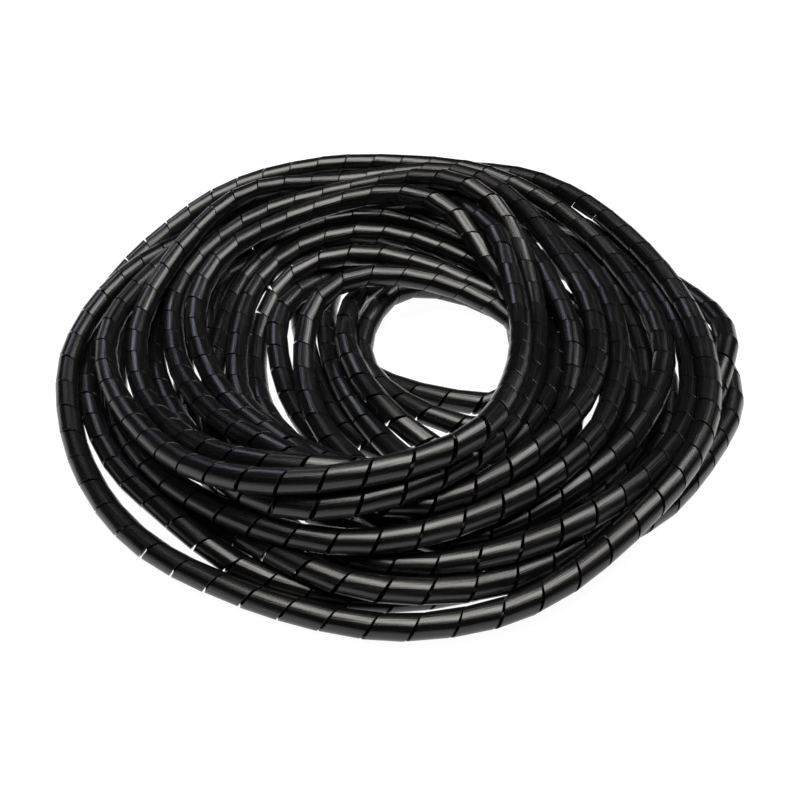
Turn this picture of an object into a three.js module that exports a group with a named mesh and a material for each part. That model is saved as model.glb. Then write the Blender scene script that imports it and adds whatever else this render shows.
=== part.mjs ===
// Spiral cable wrap: one 10 m length of spiral-cut plastic tube, wound into a loose coil.
// Millimetres, +Z up. The origin is on the floor, under the middle of the coil.
// The coil is one turned solid: its bore, its flat underside, and a heap of turns whose
// rounded backs show as lobes all round its section. Each lobe is one turn of the tube.
import * as THREE from "three";

// The tube
const wrapDiameter = 8;

// The coil that the tube is wound into
const coilDiameter = 252;
const boreDiameter = 57;
const coilHeight = 50;

// How square the heap's section is: 2 is an ellipse, and a larger number has fuller shoulders
const heapFullness = 2.6;

// Facets
const ringSegments = 40;
const lobeSegments = 4;
const heapSteps = 600;

const wrapRadius = wrapDiameter / 2;

// The heap's line runs through the middles of the outermost turns, from the lowest turn
// outside, over the top, to the lowest turn in the bore.
function heapPoint(angle) {
  const outerTurn = coilDiameter / 2 - wrapRadius;
  const boreTurn = boreDiameter / 2 + wrapRadius;
  const rise = coilHeight - wrapDiameter;
  const power = 2 / heapFullness;
  const outward = Math.sign(Math.cos(angle)) * Math.abs(Math.cos(angle)) ** power;
  const upward = Math.sin(angle) ** power;
  return new THREE.Vector2(
    (outerTurn + boreTurn) / 2 + ((outerTurn - boreTurn) / 2) * outward,
    wrapRadius + rise * upward,
  );
}

// The middles of the outermost turns, about one tube diameter apart along the heap.
function turnMiddles() {
  const line = [heapPoint(0)];
  const along = [0];
  for (let i = 1; i <= heapSteps; i++) {
    line.push(heapPoint((Math.PI * i) / heapSteps));
    along.push(along[i - 1] + line[i].distanceTo(line[i - 1]));
  }
  const gaps = Math.round(along[heapSteps] / wrapDiameter);
  const middles = [];
  for (let k = 0; k <= gaps; k++) {
    const place = (along[heapSteps] * k) / gaps;
    const next = along.findIndex((length) => length >= place - 1e-9);
    middles.push(line[next]);
  }
  return middles;
}

// One turn's lobe: an arc round its middle, anticlockwise from one direction to another.
function lobe(middle, radius, from, to) {
  let sweep = to - from;
  while (sweep <= 0) sweep += 2 * Math.PI;
  const points = [];
  for (let i = 0; i <= lobeSegments; i++) {
    const angle = from + (sweep * i) / lobeSegments;
    points.push(
      new THREE.Vector2(
        middle.x + radius * Math.cos(angle),
        middle.y + radius * Math.sin(angle),
      ),
    );
  }
  return points;
}

// The coil's section, from the foot of its outside, over the heap, to the foot of its bore,
// and back along the flat underside.
function coilSection() {
  const middles = turnMiddles();
  const straightDown = -Math.PI / 2;
  const section = [];
  middles.forEach((middle, k) => {
    const before = middles[k - 1];
    const after = middles[k + 1];
    const from = before ? before.clone().sub(middle).angle() : straightDown;
    const to = after ? after.clone().sub(middle).angle() : straightDown;
    const foot = !before || !after;
    const halfGaps = foot ? 0 : (middle.distanceTo(before) + middle.distanceTo(after)) / 4;
    const arc = lobe(middle, foot ? wrapRadius : halfGaps, from, to);
    section.push(...(section.length ? arc.slice(1) : arc));
  });
  section.push(section[0].clone());
  return section;
}

function coil() {
  const geometry = new THREE.LatheGeometry(coilSection(), ringSegments);
  geometry.rotateX(Math.PI / 2);
  const blackPolyethylene = new THREE.MeshStandardMaterial({
    color: 0x101012,
    roughness: 0.32,
    metalness: 0,
  });
  const mesh = new THREE.Mesh(geometry, blackPolyethylene);
  mesh.name = "spiral_wrap_coil";
  return mesh;
}

const part = new THREE.Group();
part.add(coil());

export default part;
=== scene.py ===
"""Spiral cable wrap: 10 m of spiral-cut plastic tube lying in a loose coil, for Blender 4.5."""

import math

import bpy
import numpy as np
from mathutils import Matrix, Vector


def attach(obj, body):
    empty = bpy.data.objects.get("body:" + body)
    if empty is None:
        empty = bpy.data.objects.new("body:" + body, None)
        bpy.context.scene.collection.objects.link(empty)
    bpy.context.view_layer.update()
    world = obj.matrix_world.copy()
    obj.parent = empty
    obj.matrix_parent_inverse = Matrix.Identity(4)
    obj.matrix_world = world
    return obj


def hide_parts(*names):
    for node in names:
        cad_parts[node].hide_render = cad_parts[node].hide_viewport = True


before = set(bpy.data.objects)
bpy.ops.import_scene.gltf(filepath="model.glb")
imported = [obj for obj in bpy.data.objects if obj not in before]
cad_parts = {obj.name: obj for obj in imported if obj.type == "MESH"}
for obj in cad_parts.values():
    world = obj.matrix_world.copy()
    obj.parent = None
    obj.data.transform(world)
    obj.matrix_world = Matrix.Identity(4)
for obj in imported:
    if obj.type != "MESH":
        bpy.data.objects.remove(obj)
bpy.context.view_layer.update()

MM = 0.001

# The tube, in millimetres
TUBE_DIAMETER = 8.0
TUBE_RADIUS = TUBE_DIAMETER / 2
TUBE_WALL = 0.8

# The spiral cut, in millimetres: its pitch, its usual and least width, and the bevel along its edges
CUT_PITCH = 12.3
CUT_WIDTH = 0.6
NARROWEST_CUT = 0.36
CUT_CORNER = 0.07
STEPS_IN_A_TURN = 18

# How much a bend may close or open the cut, as a share of the pitch
MOST_CLOSED = 0.8
MOST_OPEN = 1.3

# How uneven the wrap is: a share of the cut's width, then the shift and swelling of a turn in millimetres
CUT_UNEVENNESS = 0.35
TURN_SHIFT = 0.11
TURN_SWELLING = 0.05
# The rates and phases of the slow waves that the unevenness is made of
WAVES = [(2.31, 1.0), (3.77, 2.1), (5.03, 0.7)]
# The pace and the start of each waver along the turns
CUT_WAVER = (0.83, 4.0)
SIDE_WAVER = (1.0, 0.3)
UP_WAVER = (1.0, 1.9)
SWELLING_WAVER = (1.7, 7.0)

# Faces that meet at more than this angle keep a sharp edge
SHARP_ANGLE = math.radians(30)

# The black plastic
PLASTIC_BLACK = (0.0022, 0.0022, 0.0025, 1)
PLASTIC_IOR = 1.51
SMOOTHEST = 0.11
ROUGHEST = 0.27

# Fine lines that were drawn along the tube when it was made
DRAW_LINE_STRETCH = (1.0, 1.0, 0.012)
DRAW_LINE_SCALE = 1.6
DRAW_LINE_DETAIL = 4.0
DRAW_LINE_HARSHNESS = 0.65
DRAW_LINE_FAINT = 0.3
DRAW_LINE_STRONG = 0.7
DRAW_LINE_STRENGTH = 0.42
DRAW_LINE_DEPTH = 0.0002

# Soft scuffs, and the roughness that they add
SCUFF_STRETCH = (0.5, 0.5, 0.07)
SCUFF_SCALE = 1.0
SCUFF_DETAIL = 3.0
SCUFF_ROUGHNESS = 0.14

# Specks of pale dust
DUST_GREY = (0.16, 0.16, 0.165, 1)
DUST_SCALE = 1.4
DUST_DETAIL = 2.0
DUST_STARTS = 0.74
DUST_IS_FULL = 0.80

# The white table, in metres
TABLE_HALF_SIDE = 60.0
TABLE_COLOUR = (0.12, 0.12, 0.12, 1)
TABLE_ROUGHNESS = 0.9
TABLE_GLOW = 0.97

# The studio
ROOM_GLOW = 0.004
WHITE = (1, 1, 1, 1)
HEAP_MIDDLE = (0, 0, 0.02)

# The camera that took the photograph: a pinhole that looks along +Y and down
PICTURE_SIDE = 800
PICTURE_MIDDLE = PICTURE_SIDE / 2
LENS = 50.0
SENSOR = 36.0
NEAREST_VIEW = 0.01
FOCAL_PIXELS = LENS / SENSOR * PICTURE_SIDE
CAMERA_DROP = math.radians(38.8)
CAMERA_DISTANCE = 402.0
EYE = np.array([
    0.0,
    -CAMERA_DISTANCE * math.cos(CAMERA_DROP),
    CAMERA_DISTANCE * math.sin(CAMERA_DROP),
])
# Where the middle of the coil lies from the point that the camera looks at
COIL_MIDDLE = np.array([2.2, 13.4, 0.0])


def lift(across, down, height):
    """The point at a height in mm that the camera sees at a pixel."""
    below = down - PICTURE_MIDDLE
    sine, cosine = math.sin(CAMERA_DROP), math.cos(CAMERA_DROP)
    reach = below * (CAMERA_DISTANCE - sine * height) + FOCAL_PIXELS * cosine * height
    y = -reach / (FOCAL_PIXELS * sine + cosine * below)
    depth = CAMERA_DISTANCE + y * cosine - height * sine
    return np.array([(across - PICTURE_MIDDLE) * depth / FOCAL_PIXELS, y, height])


def seen(*rows):
    """Points of the tube's centre line in view: pixel across, pixel down, and height in mm."""
    return [(True, lift(*row)) for row in rows]


def hidden(*rows):
    """Points of the centre line that other turns hide: x, y and height in mm from the picture's middle."""
    return [(False, np.array(row, float)) for row in rows]


# The route, lap by lap. Each lap goes right, back, left and to the front, and leads into the next one.
# The first starts under the heap at the back. The last ends under the outer turns at the back right.
BENEATH = [
    hidden((44, 90, 4), (20, 98, 4), (-4, 98, 4), (-22, 91, 4)),
    seen((322, 270, 4), (306, 286, 4), (299, 305, 4), (303, 325, 4), (308, 350, 4), (317, 375, 4),
         (329, 400, 4), (342, 424, 4), (362, 445, 4)),
    hidden((2, -40, 4), (20, -44, 4), (36, -39, 4), (47, -27, 4), (51, -10, 4), (51, 10, 4),
         (53, 31, 4), (52, 49, 4), (45, 66, 4), (33, 80, 4), (15, 88, 4), (1, 83, 4)),
    seen((366, 291, 4), (357, 305, 4), (350, 325, 4), (348, 345, 4), (355, 366, 4)),
]
HOLE_EDGE = [
    seen((375, 381, 4), (400, 386, 4), (420, 392, 4), (440, 396, 4), (460, 400, 4), (475, 406, 5),
         (490, 408, 6)),
    hidden((53, -11, 12), (60, -2, 13), (61, 6, 13), (58, 19, 12), (50, 30, 11)),
    seen((500, 309, 9), (460, 290, 9), (437, 282, 10), (418, 279, 12), (400, 275, 14),
         (370, 275, 17), (347, 280, 19), (332, 284, 20), (320, 295, 19), (309, 315, 18),
         (306, 330, 16), (305, 350, 14), (305, 370, 13), (308, 392, 12), (316, 418, 13),
         (337, 446, 14), (357, 466, 15)),
]
INNER_B = [
    hidden((0, -67, 16), (20, -71, 14), (42, -60, 11), (63, -44, 9), (75, -20, 9), (78, 5, 9),
         (75, 27, 9), (62, 45, 9)),
    seen((500, 300, 10), (475, 286, 9), (445, 272, 9), (412, 263, 9), (378, 254, 9), (342, 255, 8),
         (323, 261, 7), (306, 269, 6), (290, 280, 5), (278, 292, 5), (270, 307, 5), (264, 320, 4),
         (260, 336, 4), (257, 353, 4), (256, 376, 4), (259, 396, 4), (264, 412, 5), (275, 428, 7),
         (292, 443, 10), (310, 455, 13)),
]
INNER_A = [
    hidden((-20, -60, 15), (-7, -72, 16), (9, -79, 17), (27, -75, 14), (49, -63, 11), (69, -44, 9),
         (80, -22, 9), (86, 2, 9), (83, 24, 9), (70, 45, 10), (54, 57, 10)),
    seen((505, 285, 10), (486, 268, 11), (460, 256, 11), (430, 245, 11), (398, 235, 11),
         (362, 231, 11), (327, 238, 11), (310, 244, 11), (293, 252, 11), (278, 263, 11),
         (265, 273, 11), (257, 285, 11), (249, 298, 11), (243, 315, 11), (239, 330, 11),
         (237, 350, 11), (236, 370, 11), (238, 390, 12), (243, 405, 13), (257, 420, 15),
         (275, 432, 18), (295, 448, 22)),
]
PEEPING = [
    hidden((-23, -60, 25), (-5, -71, 29)),
    seen((440, 485, 31), (465, 474, 31), (487, 462, 29), (516, 440, 25), (536, 413, 20),
         (550, 393, 16), (555, 370, 14), (553, 350, 13), (547, 320, 11), (541, 300, 9)),
    hidden((52, 60, 6)),
    seen((503, 290, 4), (482, 273, 4), (455, 260, 4), (425, 248, 4)),
    hidden((-5, 98, 4), (-20, 90, 4)),
    seen((335, 272, 4), (318, 285, 4), (291, 296, 4), (277, 317, 4), (279, 347, 4), (283, 374, 4),
         (291, 401, 4), (305, 420, 5), (320, 440, 5), (335, 458, 6)),
]
INNERMOST = [
    hidden((-5, -57, 4), (13, -59, 4), (33, -55, 4), (50, -43, 4), (62, -26, 4), (67, -5, 4),
         (66, 16, 4), (60, 38, 4), (51, 52, 5), (39, 64, 7), (25, 69, 8), (11, 66, 8)),
    seen((396, 287, 8), (383, 303, 8), (372, 319, 7), (363, 338, 7), (359, 355, 6), (371, 376, 7),
         (389, 392, 9), (408, 405, 9), (428, 415, 9), (445, 421, 8), (465, 427, 7)),
]
NEXT_INNERMOST = [
    hidden((38, -36, 10), (53, -30, 13), (66, -15, 12), (70, 7, 12), (68, 29, 10), (59, 48, 6),
         (43, 63, 4), (29, 75, 4), (13, 81, 5)),
    seen((400, 279, 5), (380, 282, 6), (362, 290, 8), (350, 308, 9), (347, 330, 10),
         (347, 346, 10), (356, 366, 11), (368, 389, 12), (388, 411, 13), (414, 435, 14),
         (432, 448, 14)),
]
UNDER_FIRST = [
    hidden((27, -49, 11), (44, -44, 8), (56, -30, 5), (59, -12, 4), (59, 6, 4), (55, 24, 5),
         (47, 42, 8)),
    seen((502, 274, 15), (497, 264, 18), (490, 252, 21), (481, 238, 24), (470, 226, 26),
         (458, 213, 29), (445, 204, 31), (427, 195, 32), (400, 193, 33), (380, 194, 32),
         (355, 198, 31), (330, 206, 28), (307, 213, 26), (295, 218, 25), (279, 224, 24),
         (263, 231, 23), (251, 235, 22), (231, 247, 20), (218, 258, 18), (206, 280, 15),
         (200, 290, 14), (196, 305, 12), (195, 330, 11), (203, 350, 11), (210, 372, 11),
         (225, 398, 13), (245, 418, 16), (275, 437, 22), (305, 452, 25)),
]
BACK_EDGE = [
    hidden((-21, -72, 24), (-7, -84, 23)),
    seen((450, 548, 20), (497, 530, 20), (536, 511, 20), (570, 491, 20), (597, 469, 18),
         (622, 449, 16), (641, 421, 15), (657, 391, 14), (665, 365, 14), (662, 337, 14),
         (650, 311, 15), (637, 290, 16), (622, 270, 18), (607, 252, 20), (592, 237, 22),
         (578, 224, 24), (563, 212, 25), (548, 202, 27), (535, 195, 28), (520, 187, 30),
         (505, 181, 31), (480, 172, 32), (460, 168, 31), (440, 166, 30), (400, 165, 29),
         (380, 163, 29), (350, 163, 29), (320, 166, 28), (300, 170, 28), (280, 174, 27),
         (260, 179, 26), (240, 186, 25), (220, 195, 24), (200, 207, 23), (185, 220, 20),
         (165, 235, 17), (150, 247, 14), (140, 257, 12), (125, 272, 9), (110, 290, 6),
         (100, 310, 5), (93, 335, 4), (89, 360, 4), (89, 385, 4), (92, 400, 4), (97, 419, 4),
         (106, 438, 4), (116, 457, 4), (127, 474, 4), (148, 494, 4), (171, 514, 4), (196, 533, 4),
         (220, 551, 4), (251, 568, 4), (285, 581, 4), (320, 593, 4), (360, 600, 4)),
]
FLOOR_OUTER = [
    seen((397, 601, 4), (430, 596, 4), (470, 589, 4), (510, 577, 4), (550, 561, 4), (590, 544, 4),
         (625, 530, 4), (658, 515, 4), (680, 492, 4), (697, 466, 4), (716, 440, 4), (730, 419, 4),
         (734, 400, 4), (731, 386, 4), (724, 364, 4)),
    hidden((115, 31, 4), (109, 52, 5), (96, 80, 8), (79, 103, 15), (59, 118, 15), (36, 127, 13),
         (9, 130, 13), (-18, 129, 13), (-45, 120, 13), (-69, 103, 13)),
    seen((180, 243, 18), (168, 250, 19), (145, 262, 19), (125, 275, 17), (110, 290, 14),
         (98, 305, 11), (87, 322, 8), (77, 345, 5), (72, 370, 4), (70, 400, 4), (74, 441, 4),
         (82, 462, 4), (97, 492, 4), (121, 523, 4), (147, 548, 4), (178, 566, 4), (209, 579, 4),
         (240, 592, 4), (271, 603, 4), (307, 613, 4), (342, 622, 4)),
]
OUTER = [
    seen((383, 628, 4), (425, 627, 4), (466, 620, 5), (507, 612, 6), (543, 596, 8), (576, 573, 10),
         (603, 552, 11), (630, 528, 12), (653, 504, 12), (675, 481, 12), (692, 452, 12),
         (706, 421, 12), (710, 389, 13), (707, 370, 13), (705, 350, 14), (698, 330, 14),
         (690, 313, 15), (680, 297, 16), (668, 280, 18), (655, 263, 20), (640, 248, 22),
         (620, 230, 24), (600, 213, 26), (585, 203, 27), (570, 195, 27), (555, 187, 27),
         (530, 178, 27), (500, 173, 24)),
    hidden((23, 132, 23), (0, 135, 22), (-23, 134, 22), (-45, 125, 21), (-67, 107, 20),
         (-83, 85, 20)),
    seen((158, 270, 18), (148, 279, 18), (137, 290, 16), (127, 300, 14), (118, 311, 13),
         (109, 330, 12), (105, 350, 11), (107, 369, 11), (112, 386, 11), (123, 405, 12),
         (137, 424, 14), (154, 441, 16), (172, 455, 20), (195, 467, 24), (221, 475, 29),
         (252, 480, 34), (287, 482, 39), (326, 479, 43), (371, 472, 45)),
]
TOP = [
    seen((411, 464, 47), (450, 452, 46), (483, 429, 42), (503, 403, 33), (514, 378, 26),
         (519, 362, 24), (521, 337, 20), (521, 314, 20), (514, 291, 22), (504, 266, 24),
         (495, 241, 27), (480, 219, 30), (468, 206, 31), (452, 195, 31), (435, 189, 29),
         (410, 187, 26), (380, 189, 24), (350, 194, 22), (338, 198, 21), (320, 206, 20),
         (307, 210, 20), (280, 218, 18), (262, 224, 16), (245, 236, 13)),
    hidden((-76, 81, 9), (-86, 63, 7)),
    seen((162, 310, 5), (156, 340, 5), (154, 360, 5), (157, 378, 5), (167, 400, 5), (182, 425, 6),
         (200, 450, 9), (216, 472, 14), (235, 488, 20), (252, 496, 24), (280, 504, 30),
         (312, 509, 34), (350, 505, 38)),
]
SECOND = [
    seen((392, 495, 40), (433, 478, 40), (468, 460, 38), (485, 448, 36), (500, 437, 33),
         (515, 412, 25), (524, 400, 23), (530, 390, 20), (535, 360, 18), (537, 340, 17),
         (537, 315, 17), (532, 288, 19), (524, 262, 22), (513, 234, 25), (497, 212, 28),
         (485, 200, 30), (470, 190, 31), (455, 182, 32), (440, 179, 32), (420, 178, 31),
         (400, 179, 32), (380, 183, 33), (340, 193, 32), (320, 197, 30), (300, 201, 28),
         (285, 205, 27), (270, 211, 26), (255, 217, 25), (243, 224, 24), (230, 232, 24),
         (218, 241, 22), (205, 252, 20), (195, 262, 18), (188, 270, 17), (182, 280, 16),
         (175, 300, 14), (173, 325, 13), (176, 350, 12), (180, 372, 12), (195, 392, 13),
         (213, 412, 14), (234, 427, 17), (259, 441, 22), (290, 456, 27), (320, 465, 32)),
    hidden((-13, -81, 34)),
]
THIRD = [
    seen((400, 516, 33), (428, 507, 33), (467, 494, 31), (500, 475, 28), (532, 452, 24),
         (558, 428, 21), (580, 406, 19), (591, 382, 17), (596, 358, 16), (597, 336, 16),
         (592, 313, 17), (585, 290, 19), (574, 275, 21), (563, 262, 23), (553, 248, 24),
         (543, 233, 26), (532, 218, 28), (520, 205, 30), (505, 193, 31), (490, 184, 32),
         (472, 176, 32), (450, 171, 31), (420, 171, 30), (395, 175, 28), (370, 179, 27),
         (350, 183, 26), (330, 184, 27), (300, 185, 29), (270, 185, 30), (251, 190, 29),
         (241, 194, 28), (231, 200, 28), (221, 209, 27), (211, 219, 27), (201, 230, 26),
         (190, 240, 25), (181, 250, 24), (173, 260, 22), (167, 270, 20), (160, 280, 18),
         (148, 300, 15), (143, 310, 14), (138, 330, 13), (137, 350, 12), (138, 372, 12),
         (143, 392, 13), (155, 412, 14), (172, 428, 18), (196, 445, 23), (222, 455, 27),
         (255, 463, 32), (290, 467, 35), (330, 467, 38)),
    hidden((-7, -81, 33)),
]
FOURTH_HIDDEN = [
    hidden((9, -76, 27), (25, -71, 23), (40, -60, 18), (52, -42, 15), (60, -24, 14)),
    seen((567, 397, 14), (576, 373, 14), (577, 350, 14), (573, 332, 14), (566, 315, 14),
         (557, 298, 14), (548, 283, 15), (540, 268, 16), (531, 253, 17), (522, 238, 18)),
    hidden((43, 96, 18), (31, 107, 16), (11, 115, 13), (-11, 116, 10), (-36, 110, 6), (-56, 99, 4),
         (-71, 79, 4), (-79, 56, 4), (-79, 33, 4), (-77, 9, 4), (-73, -12, 4)),
    seen((199, 452, 4), (214, 485, 4), (240, 508, 4), (268, 524, 4)),
    hidden((-25, -74, 4)),
]
FLOOR_FILLING = [
    hidden((-2, -79, 4), (20, -83, 4), (45, -80, 4), (68, -68, 4), (83, -51, 4), (90, -29, 4),
         (95, -4, 4), (96, 18, 4), (91, 40, 4), (81, 60, 4), (70, 75, 4), (58, 87, 4),
         (43, 100, 4), (25, 112, 4), (0, 116, 4), (-25, 113, 4), (-47, 102, 4), (-63, 84, 4)),
    seen((224, 278, 4), (215, 300, 4), (211, 325, 4), (212, 350, 4), (218, 375, 4)),
    hidden((-64, -8, 4), (-57, -28, 4), (-46, -47, 4)),
    seen((300, 507, 4), (330, 520, 4), (358, 525, 4)),
]
SEVENTH_HIDDEN = [
    hidden((-5, -71, 4), (16, -75, 4), (40, -72, 4), (61, -62, 4), (77, -45, 4), (83, -24, 4),
         (84, -4, 4), (87, 10, 4)),
    seen((647, 360, 5), (638, 338, 6), (630, 322, 7), (617, 290, 9), (598, 262, 11)),
    hidden((69, 92, 11), (51, 107, 10), (29, 112, 8), (7, 109, 5), (-14, 100, 4), (-29, 85, 4),
         (-33, 67, 4), (-33, 51, 4)),
    seen((328, 335, 4), (331, 365, 4), (343, 391, 4), (357, 411, 5), (371, 425, 5), (384, 438, 7),
         (397, 453, 9)),
]
INNER_C = [
    hidden((13, -61, 11), (30, -65, 9), (48, -59, 6), (65, -42, 4), (73, -23, 4), (75, -4, 4),
         (75, 18, 4), (73, 42, 4), (67, 67, 5), (55, 80, 7)),
    seen((490, 257, 10), (470, 245, 12), (449, 235, 13), (418, 224, 14), (400, 219, 14),
         (385, 216, 14), (347, 217, 13), (314, 226, 12), (298, 233, 11), (282, 241, 10),
         (268, 252, 9), (257, 264, 8), (246, 278, 7), (237, 293, 6), (230, 308, 5), (225, 322, 5),
         (223, 345, 4)),
    hidden((-69, 9, 4), (-67, -13, 4), (-61, -36, 4), (-51, -56, 6), (-40, -72, 10),
         (-27, -84, 14)),
]
NINTH = [
    seen((340, 557, 15), (373, 564, 16), (412, 568, 17), (451, 566, 16), (493, 556, 15),
         (533, 545, 14), (572, 528, 13), (604, 508, 12), (632, 487, 11), (656, 467, 10),
         (677, 443, 9), (690, 412, 8), (690, 381, 7), (688, 354, 7), (679, 329, 7), (668, 305, 8),
         (652, 284, 9), (632, 264, 10), (612, 246, 11), (592, 231, 13), (575, 221, 14)),
    hidden((57, 110, 13), (40, 119, 11), (14, 125, 8), (-14, 126, 6), (-41, 119, 5), (-68, 105, 7),
         (-89, 81, 5), (-100, 56, 4), (-104, 33, 4), (-103, 7, 4)),
    seen((120, 430, 5), (133, 448, 5), (150, 467, 7), (173, 484, 9), (197, 498, 11),
         (223, 510, 14), (250, 521, 16), (282, 531, 19), (316, 540, 22), (355, 545, 24)),
]
SIXTH = [
    seen((397, 539, 25), (438, 529, 25), (478, 514, 24), (517, 498, 23), (550, 479, 21),
         (577, 456, 19), (597, 434, 17), (609, 409, 15), (617, 384, 14), (620, 361, 13),
         (616, 337, 13), (613, 313, 14), (605, 293, 14), (594, 277, 16), (580, 263, 17),
         (568, 250, 18), (543, 225, 20)),
    hidden((43, 103, 19), (25, 112, 17), (5, 119, 16), (-23, 119, 14), (-50, 110, 11),
         (-76, 90, 7), (-97, 65, 4), (-108, 43, 4), (-110, 23, 4)),
    seen((103, 400, 4), (107, 415, 4), (113, 430, 4), (125, 447, 4), (140, 465, 5), (158, 483, 5),
         (178, 500, 5), (200, 517, 5), (228, 534, 6), (256, 548, 7), (283, 562, 8), (315, 574, 9),
         (350, 586, 10)),
]
STRAY = [
    seen((388, 590, 11), (428, 590, 11), (470, 587, 11), (513, 578, 10), (552, 562, 9),
         (585, 540, 7), (611, 516, 5), (635, 496, 4)),
    hidden((87, -44, 4), (96, -32, 4), (104, -17, 4), (110, -4, 5)),
    seen((714, 385, 8), (723, 362, 11), (729, 343, 11), (725, 325, 11), (709, 308, 11),
         (687, 294, 10), (664, 280, 9), (646, 265, 8), (628, 250, 8)),
]
LAPS = [
    BENEATH, HOLE_EDGE, INNER_B, INNER_A, PEEPING, INNERMOST, NEXT_INNERMOST, UNDER_FIRST,
    BACK_EDGE, FLOOR_OUTER, OUTER, TOP, SECOND, THIRD, FOURTH_HIDDEN, FLOOR_FILLING,
    SEVENTH_HIDDEN, INNER_C, NINTH, SIXTH, STRAY,
]

# The settling of the route: lengths in millimetres, and shares of each correction that one round makes
ROUTE_STEP = 4.0
SETTLING_ROUNDS = 300
ROUNDS_BETWEEN_SEARCHES = 6
NEIGHBOUR_REACH = 14.0
NEIGHBOUR_SKIP = 6
CLEARANCE = TUBE_DIAMETER
SINK = 0.01
EASE = 0.5
HOLD_IN_PICTURE = 0.35
HOLD_IN_PLACE = 0.01
BEND_SPANS = (1, 2, 4)
NO_GAP = 1e-6
FINE_STEPS = 4


def even_curve(points, flags, step):
    """A cubic curve through the points, at even steps, with the flags carried along it."""
    span = np.linalg.norm(np.diff(points, axis=0), axis=1)
    at = np.concatenate([[0], np.cumsum(span)])
    slope = np.zeros_like(points)
    slope[1:-1] = (points[2:] - points[:-2]) / (at[2:] - at[:-2])[:, None]
    slope[0] = (points[1] - points[0]) / span[0]
    slope[-1] = (points[-1] - points[-2]) / span[-1]
    fine = np.linspace(0, at[-1], int(at[-1] / step) * FINE_STEPS)
    i = np.clip(np.searchsorted(at, fine, side="right") - 1, 0, len(span) - 1)
    h = span[i][:, None]
    t = (fine - at[i])[:, None] / h
    curve = (2 * t**3 - 3 * t**2 + 1) * points[i] + (t**3 - 2 * t**2 + t) * h * slope[i]
    curve += (3 * t**2 - 2 * t**3) * points[i + 1] + (t**3 - t**2) * h * slope[i + 1]
    return even_steps(curve, np.interp(fine, at, flags), step)


def even_steps(curve, flags, step):
    """The same curve and flags at even steps along it."""
    run = np.concatenate([[0], np.cumsum(np.linalg.norm(np.diff(curve, axis=0), axis=1))])
    stops = np.linspace(0, run[-1], int(run[-1] / step) + 1)
    even = np.stack([np.interp(stops, run, curve[:, k]) for k in range(3)], axis=1)
    return even, np.interp(stops, run, flags)


def neighbours(p):
    """Every pair of points that are close to each other but not along the tube."""
    square = (p * p).sum(axis=1)
    gaps = square[:, None] + square[None] - 2 * p @ p.T
    i, j = np.nonzero(gaps < NEIGHBOUR_REACH**2)
    apart = j - i > NEIGHBOUR_SKIP
    return i[apart], j[apart]


def directions(p):
    """The way that the line runs at each point, with a length of one."""
    way = np.zeros_like(p)
    way[1:-1] = p[2:] - p[:-2]
    way[0], way[-1] = way[1], way[-2]
    return way / np.linalg.norm(way, axis=1, keepdims=True)


def along_only(v, way):
    """The part of each arrow v that runs along the line."""
    return (v * way).sum(axis=1, keepdims=True) * way


def straighten(p, k):
    """Eases out a bend that is sharper than the bends k points before and after it."""
    bend = np.zeros_like(p)
    bend[k:-k] = (p[2 * k:] + p[:-2 * k]) / 2 - p[k:-k]
    change = np.zeros_like(p)
    change[2 * k:-2 * k] = (bend[k:-3 * k] + bend[3 * k:-k]) / 2 - bend[2 * k:-2 * k]
    return p - EASE * change


def push_apart(p, i, j, way):
    """Moves points that are nearer than a tube's diameter away from each other, across the tube only."""
    between = p[i] - p[j]
    gap = np.linalg.norm(between, axis=1)
    near = gap < CLEARANCE
    i, j, between, gap = i[near], j[near], between[near], gap[near]
    share = (CLEARANCE - gap)[:, None] * between / (gap[:, None] + NO_GAP) / 2
    move = np.zeros_like(p)
    count = np.zeros(len(p))
    np.add.at(move, i, share)
    np.add.at(move, j, -share)
    np.add.at(count, i, 1)
    np.add.at(count, j, 1)
    move /= np.maximum(count / 2, 1)[:, None]
    return p + move - along_only(move, way)


def settle(p, shown):
    """Lets the tube sink and bed down on itself. The turns in view keep their place in the picture."""
    ray = (p - EYE) / np.linalg.norm(p - EYE, axis=1, keepdims=True)
    start = p.copy()
    hold = np.where(shown > 0.5, HOLD_IN_PICTURE, 0.0)[:, None]
    free = shown <= 0.5
    for settling_round in range(SETTLING_ROUNDS):
        if settling_round % ROUNDS_BETWEEN_SEARCHES == 0:
            i, j = neighbours(p)
        for k in BEND_SPANS:
            p = straighten(p, k)
        way = directions(p)
        middle = np.zeros_like(p)
        middle[1:-1] = (p[2:] + p[:-2]) / 2 - p[1:-1]
        p = p + EASE * along_only(middle, way)
        p[:, 2] -= SINK
        p = p + hold * (along_only(p - EYE, ray) - (p - EYE))
        p[free] += HOLD_IN_PLACE * (start[free] - p[free])
        p = push_apart(p, i, j, way)
        p[:, 2] = np.maximum(p[:, 2], TUBE_RADIUS)
    return p


def route():
    """The settled centre line of the whole wrap, in millimetres from the middle of the coil."""
    stations = [station for lap in LAPS for part in lap for station in part]
    points = np.array([point for _, point in stations])
    flags = np.array([float(flag) for flag, _ in stations])
    curve, shown = even_curve(points, flags, ROUTE_STEP)
    settled, _ = even_steps(settle(curve, shown), shown, ROUTE_STEP)
    return settled - COIL_MIDDLE


def sideways(way):
    """Two directions across the tube at each point, carried along without twist."""
    side = np.zeros_like(way)
    first = np.cross(way[0], [0.0, 0.0, 1.0])
    side[0] = first / np.linalg.norm(first)
    for k in range(1, len(way)):
        turned = side[k - 1] - way[k] * (side[k - 1] @ way[k])
        side[k] = turned / np.linalg.norm(turned)
    return side, np.cross(way, side)


def wander(turns, pace, seed):
    """A smooth waver between about -1 and 1 along the wrap's turns, the same on every run."""
    at = turns * pace
    return sum(np.sin(rate * at + phase * seed) for rate, phase in WAVES) / len(WAVES)


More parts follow.
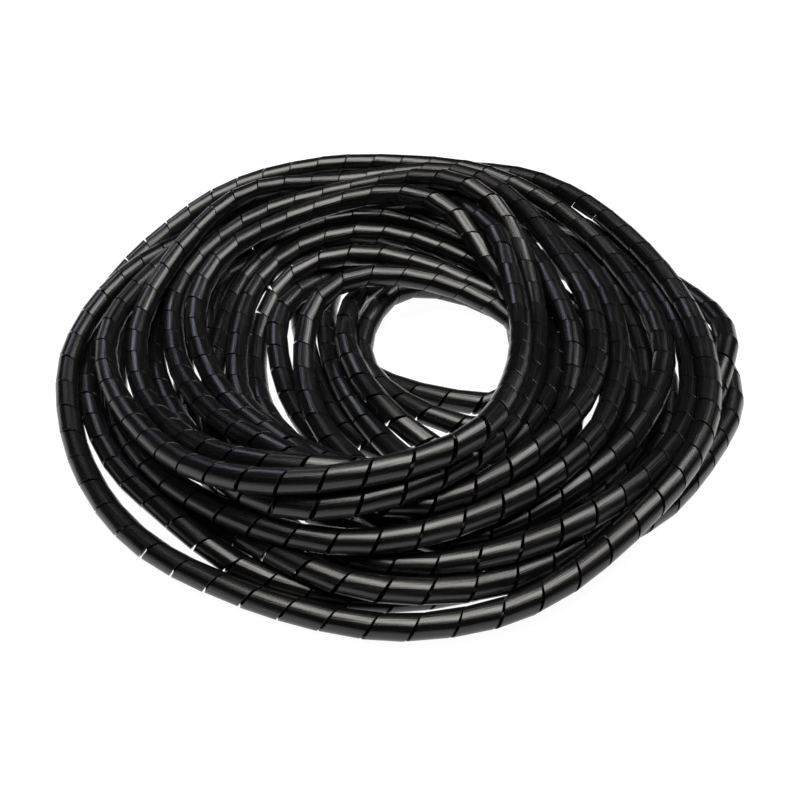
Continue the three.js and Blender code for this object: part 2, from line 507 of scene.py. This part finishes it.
class Line:
    """The centre line, with the frame across it and its bend, read at any distance along it."""

    def __init__(self, points):
        self.step = np.linalg.norm(np.diff(points, axis=0), axis=1).mean()
        self.points = points
        self.way = directions(points)
        self.side, self.up = sideways(self.way)
        self.turn = np.zeros_like(points)
        self.turn[2:-2] = (self.way[4:] - self.way[:-4]) / (4 * self.step)
        self.length = self.step * (len(points) - 1)

    def read(self, values, s):
        place = np.clip(s / self.step, 0, len(self.points) - 1)
        low = np.minimum(place.astype(int), len(self.points) - 2)
        part = (place - low)[:, None]
        return values[low] * (1 - part) + values[low + 1] * part


def strip_section():
    """The strip's corners: the side of it (0 or 1), the distance in from there, and the radius."""
    outer, inner = TUBE_RADIUS, TUBE_RADIUS - TUBE_WALL
    return [
        (0, 0.0, outer - CUT_CORNER),
        (0, CUT_CORNER, outer),
        (1, -CUT_CORNER, outer),
        (1, 0.0, outer - CUT_CORNER),
        (1, 0.0, inner),
        (0, 0.0, inner),
    ]


def strip_half_width(line, middle, lap, out):
    """Half the strip's width at each step. Its cut opens on the outside of a bend."""
    stretch = 1 - TUBE_RADIUS * (out * line.read(line.turn, middle)).sum(axis=1)
    ragged = CUT_WIDTH * (1 + CUT_UNEVENNESS * wander(lap, *CUT_WAVER))
    half = (CUT_PITCH - ragged) / 2 / np.clip(stretch, MOST_CLOSED, MOST_OPEN)
    return np.minimum(half, (CUT_PITCH - NARROWEST_CUT) / 2)


def strip_points(line):
    """The strip wound left-handed round the centre line: its corners, and each one's place on the tube."""
    turns = (line.length - CUT_PITCH) / CUT_PITCH
    count = int(turns * STEPS_IN_A_TURN) + 1
    lap = np.arange(count) / STEPS_IN_A_TURN
    angle = -2 * math.pi * lap
    cosine, sine = np.cos(angle), np.sin(angle)
    middle = (lap + 0.5) * CUT_PITCH
    side, up = line.read(line.side, middle), line.read(line.up, middle)
    out = cosine[:, None] * side + sine[:, None] * up
    half = strip_half_width(line, middle, lap, out)
    shift = wander(lap, *SIDE_WAVER)[:, None] * side + wander(lap, *UP_WAVER)[:, None] * up
    rows, places = [], []
    for across, inset, radius in strip_section():
        s = middle + (2 * across - 1) * half + inset
        swollen = radius + TURN_SWELLING * wander(lap, *SWELLING_WAVER)
        spoke = cosine[:, None] * line.read(line.side, s) + sine[:, None] * line.read(line.up, s)
        rows.append(line.read(line.points, s) + swollen[:, None] * spoke + TURN_SHIFT * shift)
        places.append(np.column_stack([radius * cosine, radius * sine, s]))
    return np.stack(rows, axis=1), np.stack(places, axis=1)


def strip_faces(count, ring):
    """The strip's four-sided faces, and the two that close its ends."""
    base = np.arange(count - 1)[:, None] * ring
    k = np.arange(ring)[None]
    following = (k + 1) % ring
    quads = np.stack([base + k, base + following, base + ring + following, base + ring + k], axis=-1)
    faces = [tuple(int(v) for v in q) for q in quads.reshape(-1, 4)]
    last = (count - 1) * ring
    return [tuple(range(ring))[::-1]] + faces + [tuple(range(last, last + ring))]


def make_wrap(line):
    """The wrap itself. It keeps each corner's place on the tube for the material."""
    rows, places = strip_points(line)
    count, ring = rows.shape[:2]
    mesh = bpy.data.meshes.new("spiral_wrap")
    mesh.from_pydata((rows.reshape(-1, 3) * MM).tolist(), [], strip_faces(count, ring))
    attribute = mesh.attributes.new("tube_place", "FLOAT_VECTOR", "POINT")
    attribute.data.foreach_set("vector", places.reshape(-1).astype(np.float32))
    mesh.polygons.foreach_set("use_smooth", [True] * len(mesh.polygons))
    mesh.set_sharp_from_angle(angle=SHARP_ANGLE)
    mesh.validate()
    wrap = bpy.data.objects.new("spiral_wrap", mesh)
    bpy.context.collection.objects.link(wrap)
    return wrap


def make_camera():
    camera = bpy.data.objects.new("camera", bpy.data.cameras.new("camera"))
    camera.data.lens = LENS
    camera.data.sensor_width = SENSOR
    camera.data.clip_start = NEAREST_VIEW
    target = Vector(-COIL_MIDDLE * MM)
    camera.location = Vector((EYE - COIL_MIDDLE) * MM)
    camera.rotation_euler = (target - camera.location).to_track_quat("-Z", "Y").to_euler()
    bpy.context.collection.objects.link(camera)
    bpy.context.scene.camera = camera


def node(tree, kind, **settings):
    """A new shader node with its settings."""
    made = tree.nodes.new(kind)
    for key, value in settings.items():
        setattr(made, key, value)
    return made


def stretched(tree, place, scale):
    """The place on the tube, drawn out along it or across it."""
    mapping = node(tree, "ShaderNodeMapping")
    mapping.inputs["Scale"].default_value = scale
    tree.links.new(place, mapping.inputs["Vector"])
    return mapping.outputs["Vector"]


def noise(tree, place, scale, detail, harshness=0.5):
    """A soft random pattern over the tube."""
    texture = node(tree, "ShaderNodeTexNoise")
    texture.inputs["Scale"].default_value = scale
    texture.inputs["Detail"].default_value = detail
    texture.inputs["Roughness"].default_value = harshness
    tree.links.new(place, texture.inputs["Vector"])
    return texture.outputs["Fac"]


def ranged(tree, value, low, high, to_low=0.0, to_high=1.0):
    """A pattern whose values from low to high are spread over another range."""
    spread = node(tree, "ShaderNodeMapRange")
    spread.inputs["From Min"].default_value = low
    spread.inputs["From Max"].default_value = high
    spread.inputs["To Min"].default_value = to_low
    spread.inputs["To Max"].default_value = to_high
    tree.links.new(value, spread.inputs["Value"])
    return spread.outputs["Result"]


def plastic():
    """Black polyethylene: glossy, with fine lines along the tube, soft scuffs and a little dust."""
    material = bpy.data.materials.new("black_polyethylene")
    material.use_nodes = True
    tree = material.node_tree
    shader = tree.nodes["Principled BSDF"]
    shader.inputs["IOR"].default_value = PLASTIC_IOR
    place = node(tree, "ShaderNodeAttribute", attribute_name="tube_place").outputs["Vector"]

    along = stretched(tree, place, DRAW_LINE_STRETCH)
    lines = noise(tree, along, DRAW_LINE_SCALE, DRAW_LINE_DETAIL, DRAW_LINE_HARSHNESS)
    scuffs = noise(tree, stretched(tree, place, SCUFF_STRETCH), SCUFF_SCALE, SCUFF_DETAIL)
    specks = noise(tree, place, DUST_SCALE, DUST_DETAIL)

    rough = node(tree, "ShaderNodeMath", operation="MULTIPLY_ADD")
    rough.inputs[1].default_value = SCUFF_ROUGHNESS
    tree.links.new(scuffs, rough.inputs[0])
    shine = ranged(tree, lines, DRAW_LINE_FAINT, DRAW_LINE_STRONG, SMOOTHEST, ROUGHEST)
    tree.links.new(shine, rough.inputs[2])
    tree.links.new(rough.outputs["Value"], shader.inputs["Roughness"])

    colour = node(tree, "ShaderNodeMix", data_type="RGBA")
    colour.inputs["A"].default_value = PLASTIC_BLACK
    colour.inputs["B"].default_value = DUST_GREY
    tree.links.new(ranged(tree, specks, DUST_STARTS, DUST_IS_FULL), colour.inputs["Factor"])
    tree.links.new(colour.outputs["Result"], shader.inputs["Base Color"])

    bump = node(tree, "ShaderNodeBump")
    bump.inputs["Strength"].default_value = DRAW_LINE_STRENGTH
    bump.inputs["Distance"].default_value = DRAW_LINE_DEPTH
    tree.links.new(lines, bump.inputs["Height"])
    tree.links.new(bump.outputs["Normal"], shader.inputs["Normal"])
    return material


def table_white():
    """A matt white that glows a little, so that it stays white all over."""
    material = bpy.data.materials.new("white_table")
    material.use_nodes = True
    shader = material.node_tree.nodes["Principled BSDF"]
    shader.inputs["Base Color"].default_value = TABLE_COLOUR
    shader.inputs["Roughness"].default_value = TABLE_ROUGHNESS
    shader.inputs["Emission Color"].default_value = WHITE
    shader.inputs["Emission Strength"].default_value = TABLE_GLOW
    return material


def make_floor():
    side = TABLE_HALF_SIDE
    corners = [(-side, -side, 0), (side, -side, 0), (side, side, 0), (-side, side, 0)]
    mesh = bpy.data.meshes.new("floor")
    mesh.from_pydata(corners, [], [(0, 1, 2, 3)])
    mesh.materials.append(table_white())
    floor = bpy.data.objects.new("floor", mesh)
    bpy.context.collection.objects.link(floor)


def softbox(name, place, size, power, colour):
    """A rectangular light that faces the heap, in metres and watts."""
    light = bpy.data.lights.new(name, "AREA")
    light.shape = "RECTANGLE"
    light.size, light.size_y = size
    light.energy = power
    light.color = colour
    lamp = bpy.data.objects.new(name, light)
    lamp.location = place
    lamp.rotation_euler = (Vector(HEAP_MIDDLE) - Vector(place)).to_track_quat("-Z", "Y").to_euler()
    bpy.context.collection.objects.link(lamp)


def make_lights():
    softbox("overhead", place=(-0.05, -0.08, 1.0), size=(0.75, 0.62), power=13.5, colour=(1.0, 0.965, 0.90))
    softbox("back_sky", place=(-0.75, 1.1, 0.95), size=(0.5, 0.3), power=2.0, colour=(0.76, 0.79, 1.0))
    softbox("right_top", place=(0.46, 0.33, 0.92), size=(0.7, 0.45), power=7.5, colour=(1.0, 0.98, 0.95))
    world = bpy.data.worlds.new("studio")
    world.use_nodes = True
    world.node_tree.nodes["Background"].inputs["Color"].default_value = WHITE
    world.node_tree.nodes["Background"].inputs["Strength"].default_value = ROOM_GLOW
    bpy.context.scene.world = world
    bpy.context.scene.view_settings.view_transform = "Standard"


make_camera()
centre = route()
wrap = make_wrap(Line(centre))
wrap.data.materials.append(plastic())
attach(wrap, "root")
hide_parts("spiral_wrap_coil")
make_floor()
make_lights()
